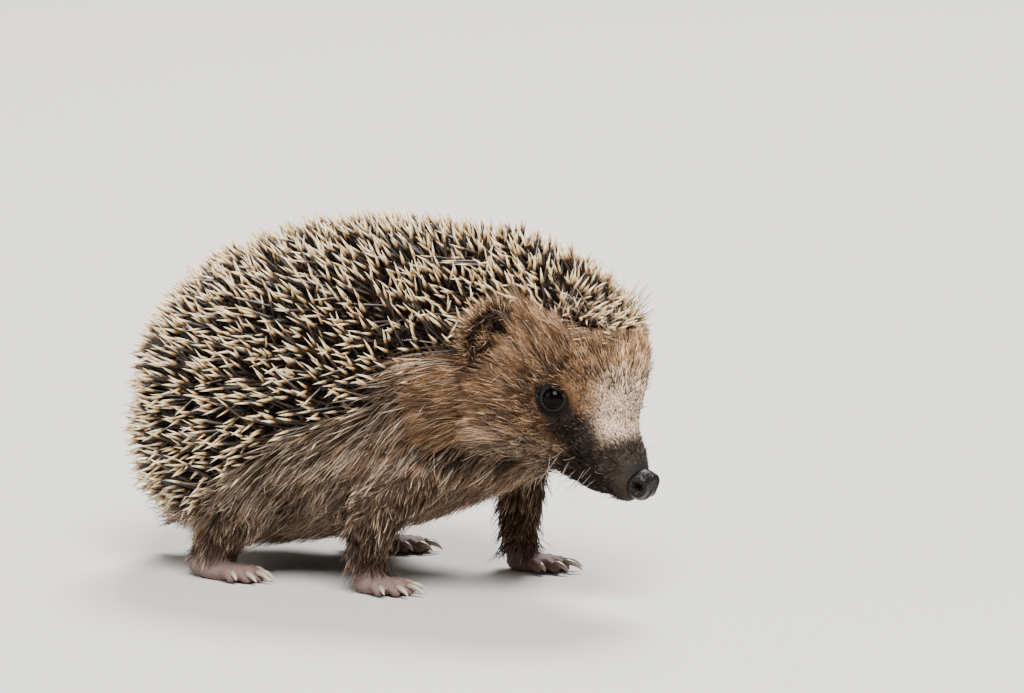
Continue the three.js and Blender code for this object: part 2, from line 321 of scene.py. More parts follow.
# %% Masks
MASKS = {
    "mantle": (("mantle",), 25),
    "head": (("head", "nose", "eye"), 25),
    "tail": (("tail",), 25),
    "leg": (("foreleg", "hindleg"), 25),
    "foot": (("forefoot", "hindfoot"), 6),
}
masks = {
    name: spread(np.isin(kind, [KINDS.index(each) for each in kinds]).astype(float), passes)
    for name, (kinds, passes) in MASKS.items()
}
masks["mantle"] = np.maximum(masks["mantle"], rise(-2, 4, head_points[:, 0])) * rise(-2, 2, over_edge)
print("mean of each mask:", {name: float(values.mean().round(3)) for name, values in masks.items()})

# %% [markdown]
# ## Smooth it and draw it in
#
# The solids are faceted, so the surface is first relaxed, most on the broad body and hardly at all on the toes.
# It is then drawn in along its own normals by the coat's depth, a little at a time, with a light relaxing between
# the steps so that it doesn't fold in the hollows.

# %% Relax and inset
INSET_STEPS = 12
FIRST_PASSES, LAST_PASSES = 60, 8
softness = 0.85 * (1 - masks["foot"]) * (1 - 0.45 * masks["head"]) + 0.06


def relax(points, passes, amount):
    for _ in range(passes):
        points = points + (neighbours_mean(points) - points) * amount[:, None]
    return points


def place(mesh, points):
    mesh.vertices.foreach_set("co", points.astype(np.float32).ravel())
    mesh.update()


points = relax(points, FIRST_PASSES, softness * 0.7)
for _ in range(INSET_STEPS):
    place(skin.data, points)
    normals = read(skin.data.vertices, "normal")
    points = points - normals * (depth * MM / INSET_STEPS)[:, None]
    points = relax(points, 1, softness * rise(0.8, 3, depth))
points = relax(points, LAST_PASSES, softness * rise(1.5, 5, depth))
place(skin.data, points)

for name, values in [*masks.items(), ("depth", depth)]:
    carry(skin.data, name, values)
print("mean height of the skin, mm:", (points[:, 2].mean() / MM).round(1))

# %% [markdown]
# ## Fewer points under the coat
#
# Under quills and long hair nobody sees the skin, so most of its points go. The face and the feet keep theirs.

# %% Thin out the mesh
LEVELS = 5
KEPT_SHARE = 0.3
fine = np.clip(masks["head"] * rise(-4, 4, in_head(points)[:, 0]) + masks["foot"] * 1.5, 0, 1)
group = skin.vertex_groups.new(name="coarse")
for level in range(1, LEVELS + 1):
    chosen = np.nonzero(np.round((1 - fine) * LEVELS) == level)[0]
    group.add(chosen.tolist(), level / LEVELS, "REPLACE")
thin_out = skin.modifiers.new("fewer points under the coat", "DECIMATE")
thin_out.ratio = KEPT_SHARE
thin_out.vertex_group = "coarse"
settle(skin)
print("skin after the inset:", len(skin.data.vertices), "points,", len(skin.data.polygons), "faces")

# %% [markdown]
# ## Finer mesh where the face needs it
#
# Lids, nostrils and lips are folds of a few tenths of a millimetre. The mesh round the eyes and along the mouth
# is split once more before they are sculpted.

# %% Refine round the eyes and the mouth
EYE_SINK = 0.6 * MM
EYE_FACES = (0.42, 0.86, 0.28)
EYE_REGION = 6.5 * MM
EYE_RADIUS = (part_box("eye_right")[1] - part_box("eye_right")[0]).x / 2
eye_axis = {
    side: (head_ahead * EYE_FACES[0] + head_left * sign * EYE_FACES[1] + head_above * EYE_FACES[2]).normalized()
    for side, sign in SIDES.items()
}
eye_centre = {side: eye_middle[side] - eye_axis[side] * EYE_SINK for side in SIDES}
MOUTH_FORWARD = [12, 18, 24, 30, 35, 38.5]
MOUTH_UP = [-8.8, -10.4, -11.3, -11.7, -11.5, -12.2]

refined = bmesh.new()
refined.from_mesh(skin.data)
bmesh.ops.triangulate(refined, faces=refined.faces)
split = []
for edge in refined.edges:
    spot = (edge.verts[0].co + edge.verts[1].co) / 2
    forward, _, up = in_head(np.array(spot))
    at_mouth = 11 < forward < 40 and abs(up - np.interp(forward, MOUTH_FORWARD, MOUTH_UP)) < 2
    if at_mouth or any((spot - eye_centre[side]).length < EYE_REGION for side in SIDES):
        split.append(edge)
bmesh.ops.subdivide_edges(refined, edges=split, cuts=1, use_grid_fill=True)
bmesh.ops.triangulate(refined, faces=refined.faces)
refined.to_mesh(skin.data)
refined.free()
points = read(skin.data.vertices, "co")
print("eye radius, mm:", round(EYE_RADIUS / MM, 2), "skin faces:", len(skin.data.polygons))

# %% [markdown]
# ## Eye sockets and lids
#
# The eyeball is sunk a little deeper than its solid. Seen from its centre, the skin is drawn inside the ball
# within the opening of the lids, rolls over at their margin, and lies on the ball beyond it. Two faint creases
# run round the margin, as they do where a real lid folds.

# %% Sculpt the lids
LID_OPENING = math.radians(50)
LID_ROLL = math.radians(7)
LID_THICKNESS = 0.3 * MM

for side in SIDES:
    centre = np.array(eye_centre[side])
    offset = points - centre
    distance = np.linalg.norm(offset, axis=1)
    angle = np.arccos(np.clip(dot(offset, np.array(eye_axis[side])) / distance, -1, 1))
    slope = dot(unit(offset), HEAD_AXES[0]) * 0.5 - dot(unit(offset), HEAD_AXES[2])
    opening = LID_OPENING + math.radians(4) * (slope**2 - 0.5)
    on_lid = rise(opening, opening + LID_ROLL, angle)
    lid = EYE_RADIUS * 0.74 + (EYE_RADIUS * 0.26 + LID_THICKNESS) * on_lid
    lid += 0.22 * MM * bump(angle, opening + math.radians(17), math.radians(9))
    lid -= 0.18 * MM * bump(angle, opening + math.radians(31), math.radians(5))
    near = 1 - rise(EYE_RADIUS * 1.3, EYE_RADIUS * 1.95, distance)
    near *= 1 - rise(math.radians(95), math.radians(125), angle)
    points += unit(offset) * ((lid - distance) * near)[:, None]
place(skin.data, points)
print("points drawn to the left eye:", int((near > 0).sum()))

# %% [markdown]
# ## Mouth, chin and whisker pads
#
# The mouth is shut. It shows as a line under the muzzle that rises towards the cheek, with a lip swelling on
# either side of it. The lower jaw ends short of the nose. Over the lip the whisker pads stand out a little, and
# under the nose the lip hangs lower. The skin inside the nose pad is drawn towards its middle, so that it stays
# out of the nostrils.

# %% Sculpt the mouth
normals = read(skin.data.vertices, "normal")
face = in_head(points)
over_mouth = face[:, 2] - np.interp(face[:, 0], MOUTH_FORWARD, MOUTH_UP)
along_mouth = rise(11, 15, face[:, 0]) * (1 - rise(38, 40, face[:, 0])) * (face[:, 2] < -5)
push = -0.55 * bump(over_mouth, 0, 0.42)
push += 0.22 * bump(over_mouth, 1.1, 0.6) + 0.15 * bump(over_mouth, -1.0, 0.5)
push *= along_mouth
push += 0.7 * bump(face[:, 0], 31, 4.5) * bump(over_mouth, 3.4, 2.2) * (face[:, 2] < -5)
jaw_end = rise(33, 38, face[:, 0]) * (over_mouth < 0) * (face[:, 2] < -9)
under_nose = bump(face[:, 0], 38.8, 2.4) * rise(-8, -11, face[:, 2]) * rise(5.5, 3, np.abs(face[:, 1]))
points += normals * (push * MM)[:, None] - HEAD_AXES[0] * (0.6 * MM * jaw_end)[:, None]
points -= HEAD_AXES[2] * (1.8 * MM * under_nose)[:, None]
to_nose = np.array(nose_middle) - points
inside_nose = rise(4.3 * MM, 3.5 * MM, np.linalg.norm(to_nose, axis=1))
points += to_nose * (0.65 * inside_nose)[:, None]
place(skin.data, points)
skin.data.shade_smooth()
print("deepest push at the mouth, mm:", push.min().round(2))

# %% [markdown]
# ## Unwrap the skin
#
# The map is an unwrap of the skin's own shape. Every tuft of the coat later takes a small patch of it at its
# root.


# %% Unwrap
def unwrap(made):
    bpy.context.view_layer.objects.active = made
    made.select_set(True)
    bpy.ops.object.mode_set(mode="EDIT")
    bpy.ops.mesh.select_all(action="SELECT")
    bpy.ops.uv.smart_project(angle_limit=math.radians(66), island_margin=0.001)
    bpy.ops.object.mode_set(mode="OBJECT")
    made.select_set(False)
    made.data.uv_layers[0].name = "OFBake"


unwrap(skin)
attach(skin, "root")
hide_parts(*FLESH)
print("unwrapped", len(skin.data.polygons), "faces")

# %% [markdown]
# ## Eyes
#
# A hedgehog's eye is a dark glossy bead with no white showing. Each is a plain smooth ball, a little deeper in
# the head than its solid, so that the lids close over its edge.

# %% Eyeballs
for side in SIDES:
    ball = bmesh.new()
    bmesh.ops.create_icosphere(ball, subdivisions=5, radius=EYE_RADIUS)
    bmesh.ops.translate(ball, verts=ball.verts, vec=eye_centre[side])
    mesh = as_mesh(ball, "eyeball_" + side)
    mesh.shade_smooth()
    eyeball = show(mesh, "eyeball_" + side)
    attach(eyeball, "root")
    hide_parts("eye_" + side)
print("eyeballs are", round(2 * EYE_RADIUS / MM, 1), "mm across")

# %% [markdown]
# ## The nose pad
#
# The wet pad is broader above than below. A groove parts its lower half, and the nostrils are commas that open
# forwards and to the side, with a raised rim, and trail off round the sides. It starts as a ball and is pushed
# about as a function of direction. It also keeps how far each point lies in a nostril, where the pad isn't wet.

# %% Sculpt the nose
NOSE_RADII = np.array([3.8, 4.3, 4.0])
NOSE_RAISE = 0.8 * MM
NOSTRIL_OPENS = unit(np.array([0.44, 0.88, 0.12]))
NOSTRIL_TRAILS = unit(np.array([-0.85, 0.3, 0.35]))
HOLE_DEPTH, SLIT_DEPTH, RIM_HEIGHT, GROOVE_DEPTH = 2.7, 0.7, 0.35, 0.5


def nose_shape(way):
    """Millimetres from the pad's middle, for directions given as forward, left and up, and the nostrils' share."""
    forward, sideways, up = way[:, 0], np.abs(way[:, 1]), way[:, 2]
    shape = way * NOSE_RADII
    shape[:, 1] *= 1 + 0.08 * up
    shape[:, 0] -= 0.55 * rise(0.55, 1, forward)
    away = np.stack([forward, sideways, up], 1) - NOSTRIL_OPENS
    along = dot(away, NOSTRIL_TRAILS)
    across = np.linalg.norm(away - along[:, None] * NOSTRIL_TRAILS, axis=1)
    from_hole = np.sqrt(across**2 + (along * 0.85) ** 2)
    hole = 1 - rise(0.1, 0.44, from_hole)
    slit = (1 - rise(0.05, 0.14, across)) * rise(0.1, 0.3, along) * (1 - rise(0.6, 0.8, along))
    rim = bump(from_hole, 0.58, 0.13)
    groove = (1 - rise(0.03, 0.12, sideways)) * rise(0.35, -0.15, up) * rise(0.1, 0.5, forward)
    push = -HOLE_DEPTH * hole - SLIT_DEPTH * slit * (1 - hole)
    push += RIM_HEIGHT * rim * (1 - slit)
    push -= GROOVE_DEPTH * groove
    return shape + way * push[:, None], hole


pad = bmesh.new()
bmesh.ops.create_icosphere(pad, subdivisions=6, radius=1)
pad_mesh = as_mesh(pad, "nose_pad")
shaped, nostril = nose_shape(unit(read(pad_mesh.vertices, "co")))
place(pad_mesh, np.array(nose_middle) + HEAD_AXES[2] * NOSE_RAISE + shaped @ HEAD_AXES * MM)
carry(pad_mesh, "hole", nostril)
pad_mesh.shade_smooth()
nose_pad = show(pad_mesh, "nose_pad")
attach(nose_pad, "root")
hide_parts("nose")
print("nose pad:", len(pad_mesh.polygons), "faces")

# %% [markdown]
# ## Ears
#
# The ears are short, rounded cups that open outwards and a little forwards. Each is a ball cut open, flattened to
# the cup's depth and thickened. The inside has a low fold, the rim bends out at the front of the ear's foot, and
# the top bends back.

# %% Ears
EAR_HEIGHT, EAR_WIDTH, EAR_DEPTH, EAR_WALL = 17.5, 11.8, 5.5, 0.5
EAR_CUT = 0.12
EAR_AT = (-2.6, 19.8, 6.8)
EAR_TURN = math.radians(58)
EAR_LEAN = math.radians(12)
ear_axes, ear_middle, ears = {}, {}, {}


def ear_shape(way):
    """Millimetres from the ear's middle, out of the opening, forwards and up, for directions on the cut ball."""
    out, forward, up = way.T
    shape = way * np.array([EAR_DEPTH, EAR_WIDTH / 2, EAR_HEIGHT / 2])
    shape[:, 1] *= 1 - 0.3 * rise(0.1, -1, up) - 0.08 * rise(0.5, 1, up)
    shape[:, 0] += 1.1 * rise(0.2, 1, forward) * rise(0.6, -0.8, up)
    shape[:, 0] += 0.9 * bump(forward, 0.35 * up, 0.12) * (1 - rise(-0.5, 0.0, out)) * rise(0.9, 0.3, np.abs(up))
    shape[:, 0] -= 1.0 * rise(0.2, 1, up)
    return shape


for side, sign in SIDES.items():
    cup = bmesh.new()
    bmesh.ops.create_icosphere(cup, subdivisions=5, radius=1)
    whole = cup.verts[:] + cup.edges[:] + cup.faces[:]
    bmesh.ops.bisect_plane(cup, geom=whole, plane_co=(EAR_CUT, 0, 0), plane_no=(1, 0, 0), clear_outer=True)
    cup_mesh = as_mesh(cup, "ear_shell_" + side)
    facing = head_ahead * math.cos(EAR_TURN) + head_left * sign * math.sin(EAR_TURN)
    upright = (head_above * math.cos(EAR_LEAN) + head_left * sign * math.sin(EAR_LEAN)).normalized()
    upright = (upright - facing * upright.dot(facing)).normalized()
    onward = facing.cross(upright) * sign
    ear_axes[side] = np.array([facing, onward, upright])
    ear_points = ear_shape(unit(read(cup_mesh.vertices, "co")))
    ear_middle[side] = np.array(from_head(EAR_AT[0], sign * EAR_AT[1], EAR_AT[2]))
    place(cup_mesh, ear_middle[side] + ear_points @ ear_axes[side] * MM)
    if np.linalg.det(ear_axes[side]) < 0:
        cup_mesh.flip_normals()
    cup_mesh.shade_smooth()
    ears[side] = show(cup_mesh, "ear_shell_" + side)
    wall = ears[side].modifiers.new("wall", "SOLIDIFY")
    wall.thickness = EAR_WALL * MM
    wall.offset = 0
    settle(ears[side])
    unwrap(ears[side])
    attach(ears[side], "root")
    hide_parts("ear_" + side)
print("ears:", [len(made.data.polygons) for made in ears.values()], "faces")

# %% [markdown]
# ## Strands
#
# Quills, hairs, whiskers and claws are all the same thing at different sizes: a tapered, bent spike with a few
# sides. One function makes any number of them as a single joined mesh. Each strand starts along one direction and
# ends along another, may be drawn towards a tip that it shares with its neighbours, and carries the place of its
# root on the skin's map, so that its colours can be laid there.


# %% Faces of one strand
def spike_faces(along, sides):
    """The corners, sizes and map places of a spike's faces: its rings, then its tip, then its root."""
    rings = len(along) - 1
    corners, sizes, places = [], [], []
    for ring in range(rings - 1):
        here, above = along[ring], along[ring + 1]
        for side in range(sides):
            a, b = ring * sides + side, ring * sides + (side + 1) % sides
            corners += [a, b, b + sides, a + sides]
            places += [(side, here), (side + 1, here), (side + 1, above), (side, above)]
            sizes.append(4)
    for side in range(sides):
        corners += [(rings - 1) * sides + side, (rings - 1) * sides + (side + 1) % sides, rings * sides]
        places += [(side, along[-2]), (side + 1, along[-2]), (side + 0.5, 1)]
        sizes.append(3)
    corners += list(range(sides))[::-1]
    places += [(side, 0) for side in range(sides)][::-1]
    sizes.append(sides)
    return corners, sizes, np.array(places)


print("faces of a three-sided hair:", len(spike_faces([0, 0.3, 0.6, 1], 3)[1]))

# %% [markdown]
# ## Many strands in one mesh
#
# Objects are slow to make, and points one by one even more so. All strands of a piece are therefore bent as one
# array, and the mesh is filled from it at once.

# %% Grow strands
PATCH = 0.003
FLOOR_CLEARANCE = 0.3 * MM


def strands(
    name, roots, first, last, length, girth, taper, sides, base_uv, shade, coat,
    shared_tip=None, draw=0.0, stations=None,
):
    """One joined mesh of closed spikes; taper gives the girth's share at each station from root to tip."""
    count, rings = len(roots), len(taper)
    along = np.append(np.linspace(0, 1, rings + 1)[:-1] if stations is None else stations, 1.0)
    t = along[None, :, None]
    bend = last - first
    line = roots[:, None] + length[:, None, None] * (t * first[:, None] + t * t / 2 * bend[:, None])
    if shared_tip is not None:
        pull = (shared_tip - line[:, -1]) * np.asarray(draw).reshape(-1, 1)
        line += t**1.6 * pull[:, None]
    line[:, :, 2] = np.maximum(line[:, :, 2], FLOOR_CLEARANCE + girth[:, None] / 2)
    tangent = unit(np.gradient(line, along, axis=1))
    beside = unit(np.cross(tangent, unit(first + 0.4 * np.roll(first, 1, axis=1) + 0.13)[:, None]))
    over = np.cross(beside, tangent)
    turn = (np.arange(sides) / sides * 2 * np.pi)[None, None, :, None]
    around = np.cos(turn) * beside[:, :-1, None] + np.sin(turn) * over[:, :-1, None]
    width = girth[:, None, None, None] / 2 * np.array(taper)[None, :, None, None]
    body = (line[:, :-1, None] + around * width).reshape(count, rings * sides, 3)
    verts = np.concatenate([body, line[:, -1:]], 1)
    corners, sizes, places = spike_faces(along, sides)
    per = verts.shape[1]
    loops = (np.array(corners)[None] + np.arange(count)[:, None] * per).ravel()
    totals = np.tile(sizes, count)

    mesh = bpy.data.meshes.new(name)
    mesh.vertices.add(count * per)
    mesh.vertices.foreach_set("co", verts.astype(np.float32).ravel())
    mesh.loops.add(len(loops))
    mesh.loops.foreach_set("vertex_index", loops.astype(np.int32))
    mesh.polygons.add(len(totals))
    mesh.polygons.foreach_set("loop_start", np.concatenate([[0], np.cumsum(totals)[:-1]]).astype(np.int32))
    mesh.update(calc_edges=True)
    mesh.shade_smooth()
    patch = (places * [1 / sides, 1] - 0.5) * PATCH
    uv = mesh.uv_layers.new(name="OFBake")
    uv.uv.foreach_set("vector", (base_uv[:, None] + patch[None]).astype(np.float32).ravel())
    share = np.append(np.repeat(along[:-1], sides), 1)
    carry(mesh, "along", np.tile(share, count))
    carry(mesh, "shade", np.repeat(shade, per))
    carry(mesh, "from_tip", (length[:, None] / MM * (1 - share)).ravel())
    carry(mesh, "coat", np.repeat(coat, per, axis=0))
    made = show(mesh, name)
    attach(made, "root")
    return made


# %% [markdown]
# ## Roots
#
# A root is a random place on a surface, as likely wherever the surface is as large and the density as high. It
# keeps its triangle and its share of the three corners, which give the surface's direction, map place and coat
# there.


# %% Scatter roots
class Surface:
    """The triangles of an object, with whatever its points carry."""

    def __init__(self, made, names=()):
        mesh = made.data
        mesh.calc_loop_triangles()
        self.corners = read(mesh.loop_triangles, "vertices").astype(int)
        loops = read(mesh.loop_triangles, "loops").astype(int)
        self.points = read(mesh.vertices, "co")
        self.normals = read(mesh.vertices, "normal")
        self.map = read(mesh.uv_layers[0].uv, "vector", 2)[loops]
        self.carried = {name: read(mesh.attributes[name].data, "value", 1) for name in names}
        a, b, c = (self.points[self.corners[:, k]] for k in range(3))
        self.area = np.linalg.norm(np.cross(b - a, c - a), axis=1) / 2

    def scatter(self, count, density, random):
        weight = self.area * density[self.corners].mean(1)
        tri = random.choice(len(weight), count, p=weight / weight.sum())
        share = random.random((count, 2))
        share[share.sum(1) > 1] = 1 - share[share.sum(1) > 1]
        return Roots(self, tri, np.column_stack([1 - share.sum(1), share]))


class Roots:
    def __init__(self, surface, tri, share):
        self.surface, self.tri, self.share = surface, tri, share
        self.at = self.mean(surface.points)
        self.normal = unit(self.mean(surface.normals))
        self.uv = (surface.map[tri] * share[..., None]).sum(1)

    def mean(self, values):
        corner = values[self.surface.corners[self.tri]]
        share = self.share if values.ndim == 1 else self.share[..., None]
        return (corner * share).sum(1)

    def __getitem__(self, name):
        return self.mean(self.surface.carried[name])

    def only(self, keep):
        return Roots(self.surface, self.tri[keep], self.share[keep])


flesh = Surface(skin, ("mantle", "head", "tail", "leg", "foot", "depth"))
print("skin area, cm2:", (flesh.area.sum() * 1e4).round(1))

# %% [markdown]
# ## Markings
#
# One function gives the coat's colour anywhere, for the skin and for every strand that grows from it. The cheeks
# and the sides of the neck are a warm tan, the brow is golden and the bridge of the nose is cream. A dark mask
# runs from round the eye to the nose and takes in the whole snout, which is grey and nearly bare beside the pad.
# The flanks are grey-buff, the legs grow darker towards the feet, and the feet are bare. Under the quills the skin
# is painted nearly black, as painted shade in the gaps between the quills.

# %% Markings
TAN = np.array([0.215, 0.108, 0.05])
CREAM = np.array([0.88, 0.66, 0.48])
GOLDEN = np.array([0.68, 0.4, 0.21])
SANDY = np.array([0.56, 0.375, 0.225])
PEPPER = np.array([0.2, 0.155, 0.125])
MASK_BLACK = np.array([0.0085, 0.0062, 0.0052])
BUFF = np.array([0.2, 0.125, 0.076])
SNOUT_GREY = np.array([0.022, 0.019, 0.018])
LEG_BROWN = np.array([0.13, 0.075, 0.046])
# painted shade: a near-black for the skin under the quills, so that the gaps between them look shaded
UNDER_QUILL_SHADE = np.array([0.035, 0.024, 0.017])
FOOT_PINK = np.array([0.16, 0.105, 0.09])


def mixed(a, b, share):
    return a + (b - a) * np.reshape(np.clip(share, 0, 1), (-1, 1))


def from_eyes(at):
    """How far each point is from the nearer eye's centre."""
    return np.min([np.linalg.norm(at - np.array(eye_centre[side]), axis=1) for side in SIDES], axis=0)


def from_nose(at):
    return np.linalg.norm(at - np.array(nose_middle), axis=1)


def markings(at, mask):
    """The coat's colour at points of the skin, from their place and from which part of the coat they lie in."""
    forward, sideways, up = in_head(at).T
    aside = np.abs(sideways)
    brow = rise(14, 6, aside) * rise(0, 9, forward) * rise(2, 9, up)
    bridge = rise(11.5, 5, aside) * rise(11, 20, forward) * rise(16, 10, up)
    bridge *= rise(-7, -2, up + 0.35 * (forward - 20))
    face = mixed(TAN, GOLDEN, 0.75 * brow)
    face = mixed(face, CREAM, 0.95 * bridge)
    face = mixed(face, CREAM, 0.4 * rise(-6, -13, up) * rise(2, 10, forward))
    between = np.clip((forward - 15.3) / 22, 0, 1)
    line_up = 3 - 15.2 * between
    line_aside = 13.6 - 9.6 * between
    off_line = np.hypot((up - line_up) * 0.85, (aside - line_aside) * 0.5)
    dark = rise(6.8, 2.8, off_line) * rise(11, 16, forward) * 0.95
    dark = np.maximum(dark, 0.96 * rise(25.5, 31.5, forward - 0.9 * (up + 3)))
    dark = np.maximum(dark, rise(5.4, 4.3, from_eyes(at) / MM))
    face = mixed(face, MASK_BLACK, dark)
    face = mixed(face, SNOUT_GREY, rise(7.5, 5.5, from_nose(at) / MM) * rise(-7, -4, up))
    body = mixed(BUFF, TAN, 0.85 * rise(0, 36 * MM, at[:, 0]))
    body = mixed(body, LEG_BROWN, mask["leg"] * 0.8)
    body = mixed(body, LEG_BROWN * 0.7, mask["leg"] * rise(16 * MM, 7 * MM, at[:, 2]) * 0.7)
    colour = mixed(body, face, mask["head"])
    # painted shade: the skin under the quills is painted nearly black so that the gaps between them look shaded
    colour = mixed(colour, UNDER_QUILL_SHADE, mask["mantle"] * 1.2)
    return mixed(colour, FOOT_PINK, mask["foot"])


print("colours for", len(flesh.points), "points of the skin")

# %% [markdown]
# ## The skin's own colour
#
# Skin has the same markings as its coat. It shows only between the hairs, in their shade, so it is darker
# wherever it is covered. The lids are bare and nearly black, with a paler line along their wet margin.

# %% Colour the skin
LID_GREY = np.array([0.006, 0.005, 0.0045])
LID_MARGIN = np.array([0.014, 0.0145, 0.0125])
HAIR_SHADE = 0.82
skin_mask = flesh.carried
skin_colour = markings(flesh.points, skin_mask)
covered = (1 - skin_mask["foot"]) * (0.35 + 0.65 * rise(0.5, 3, skin_mask["depth"]))
skin_colour = skin_colour * (1 - HAIR_SHADE * covered)[:, None]
eye_off = from_eyes(flesh.points) / MM
skin_colour = mixed(skin_colour, LID_GREY, rise(5.2, 4.2, eye_off))
for side in SIDES:
    from_ball = unit(flesh.points - np.array(eye_centre[side]))
    from_axis = np.arccos(np.clip(dot(from_ball, np.array(eye_axis[side])), -1, 1))
    margin = bump(from_axis, LID_OPENING + math.radians(5), math.radians(3)) * rise(4.6, 4, eye_off)
    skin_colour = mixed(skin_colour, LID_MARGIN, margin)
carry(skin.data, "coat", skin_colour)
print("skin colour, mean:", skin_colour.mean(0).round(3))

# %% [markdown]
# ## The lie of the coat
#
# Hair on the face streams back from the nose, sinks across the cheek and parts round the eyes. On the neck and
# flanks it runs down and back, and on the legs almost straight down.

# %% Lie of the hair
nose_tip = np.array(nose_middle + head_ahead * 4 * MM)
TAILWARD = np.array([-1.0, 0.0, 0.0])
DOWN = np.array([0.0, 0.0, -1.0])


def lie(roots):
    """The way the hair lies along the skin at each root, one long."""
    head, leg = roots["head"], roots["leg"]
    streaming = unit(roots.at - nose_tip)
    forward, sideways, up = in_head(roots.at).T
    streaming -= HEAD_AXES[2] * (0.75 * rise(16, 0, forward) * rise(9, -2, up))[:, None]
    streaming = flattened(streaming, roots.normal)
    for side in SIDES:
        to_eye = np.array(eye_centre[side]) - roots.at
        near = 1 - rise(4 * MM, 9 * MM, np.linalg.norm(to_eye, axis=1))
        to_eye = flattened(to_eye, roots.normal)
        toward = dot(streaming, to_eye)
        blocked = np.clip(toward, 0, 1) * near
        past = flattened(streaming - to_eye * toward[:, None] + HEAD_AXES[2] * 0.15, roots.normal)
        streaming = unit(streaming - to_eye * (blocked * 1.15)[:, None] + past * blocked[:, None])
    flank = unit(TAILWARD * 0.66 + DOWN * 0.75)
    body = flank * (1 - leg)[:, None] + (DOWN + TAILWARD * 0.3) * leg[:, None]
    body = flattened(body, roots.normal)
    return flattened(streaming * head[:, None] + body * (1 - head)[:, None], roots.normal)


# %% [markdown]
# ## Where the quills stand
#
# A young hedgehog has some thousands of quills. They stand about a millimetre and a half apart on the back and
# closer on the crown. Random places alone would leave gaps and clumps, so a place too near to an earlier one is
# dropped.

# %% Choose where the quills stand
random = np.random.default_rng(7)
QUILL_TRIES = 36000
QUILL_SPACING, CROWN_SPACING = 1.42 * MM, 1.0 * MM


def spaced(at, spacing):
    """Which of the points to keep so that none is nearer to another than its spacing, first come first kept."""
    kept, cells = [], {}
    limit = np.broadcast_to(spacing, len(at)) ** 2
    for index, (spot, cell) in enumerate(zip(at, np.floor(at / np.max(spacing)).astype(int).tolist())):
        close = (
            other
            for dx in (-1, 0, 1)
            for dy in (-1, 0, 1)
            for dz in (-1, 0, 1)
            for other in cells.get((cell[0] + dx, cell[1] + dy, cell[2] + dz), ())
        )
        if all(((spot - at[each]) ** 2).sum() > limit[index] for each in close):
            kept.append(index)
            cells.setdefault(tuple(cell), []).append(index)
    return np.array(kept)


quill_roots = flesh.scatter(QUILL_TRIES, rise(0.3, 0.55, skin_mask["mantle"]), random)
crown = rise(-8, 4, in_head(quill_roots.at)[:, 0])
quill_roots = quill_roots.only(spaced(quill_roots.at, QUILL_SPACING + (CROWN_SPACING - QUILL_SPACING) * crown))
print("quills:", len(quill_roots.at))

# %% [markdown]
# ## Quills
#
# Each quill is a smooth spike about a millimetre thick, dark with a cream tip. Over the back they lean towards
# the tail, at the nape they stand straight up, and at the brow they lean forwards. Neighbours lean apart, so that
# their tips cross. Each is as long as it takes to reach the outline, and has its root a little way inside the
# skin.

# %% Grow the quills
QUILL_STATIONS = [0, 0.12, 0.3, 0.52, 0.74, 0.85, 0.93]
QUILL_TAPER = [0.5, 0.8, 0.95, 1.0, 0.97, 0.6, 0.28]
QUILL_SIDES, QUILL_PIECES = 5, 3
QUILL_SUNK = 0.6 * MM
SHORTEST_QUILL = 7 * MM


def reach(at, way, normal, fallback):
    """How far each point has to go along its way to come out of the outline."""
    far = np.empty(len(at))
    for index, (spot, along, out) in enumerate(zip(at, way, normal)):
        hit = outline.ray_cast(Vector(spot + out * 0.4 * MM), Vector(along), 40 * MM)
        far[index] = hit[3] if hit[3] is not None else fallback[index]
    return far


count = len(quill_roots.at)
head_share = rise(-0.030, 0.062, quill_roots.at[:, 0])
brow_share = rise(-2, 12, in_head(quill_roots.at)[:, 0]) * (quill_roots.at[:, 0] > 0.03)
low = rise(0.055, 0.02, quill_roots.at[:, 2])
lean = TAILWARD * (0.95 - 0.6 * head_share)[:, None] + np.array([0, 0, 1.0]) * (0.42 - 0.85 * low)[:, None]
lean += HEAD_AXES[0] * (1.6 * brow_share)[:, None]
crossing = random.choice([-1.0, 0.0, 1.0], count)[:, None] * np.cross(quill_roots.normal, unit(lean)) * 0.45
loose = random.normal(0, 0.32, (count, 3))
quill_way = unit(quill_roots.normal * 0.85 + lean * 0.55 + crossing + loose)
needed = reach(quill_roots.at, quill_way, quill_roots.normal, quill_roots["depth"] * MM * 1.3)
quill_length = np.clip(needed * random.uniform(0.82, 1.1, count), SHORTEST_QUILL, (21 - 9 * brow_share) * MM)
quill_end = unit(quill_way + lean * 0.1 + random.normal(0, 0.05, (count, 3)))
quill_girth = random.uniform(0.8, 1.02, count) * MM * (0.6 + 0.4 * rise(6 * MM, 13 * MM, quill_length))
quill_shade = random.random(count)
# each quill carries the painted-shade colour of the skin at its root
quill_coat = np.tile(UNDER_QUILL_SHADE, (count, 1))
sunk = quill_roots.at - quill_roots.normal * QUILL_SUNK
ranked = np.argsort(quill_roots.at[:, 0])
for number, part in enumerate(np.array_split(ranked, QUILL_PIECES), 1):
    made = strands(
        f"quills_{number}", sunk[part], quill_way[part], quill_end[part], quill_length[part],
        quill_girth[part], QUILL_TAPER, QUILL_SIDES, quill_roots.uv[part], quill_shade[part], quill_coat[part],
        stations=QUILL_STATIONS,
    )
print("quill length, mm:", (quill_length.mean() / MM).round(1))

# %% [markdown]
# ## Fur
#
# The rest of the coat is hair. It is short and fine on the muzzle, longer on the cheeks, and long and coarse on
# the neck and flanks, where it gathers in pointed locks. Each hair lies low along the skin and is as long as it
# takes to reach the outline. A guide hair leads each lock, and its neighbours bend towards its tip.


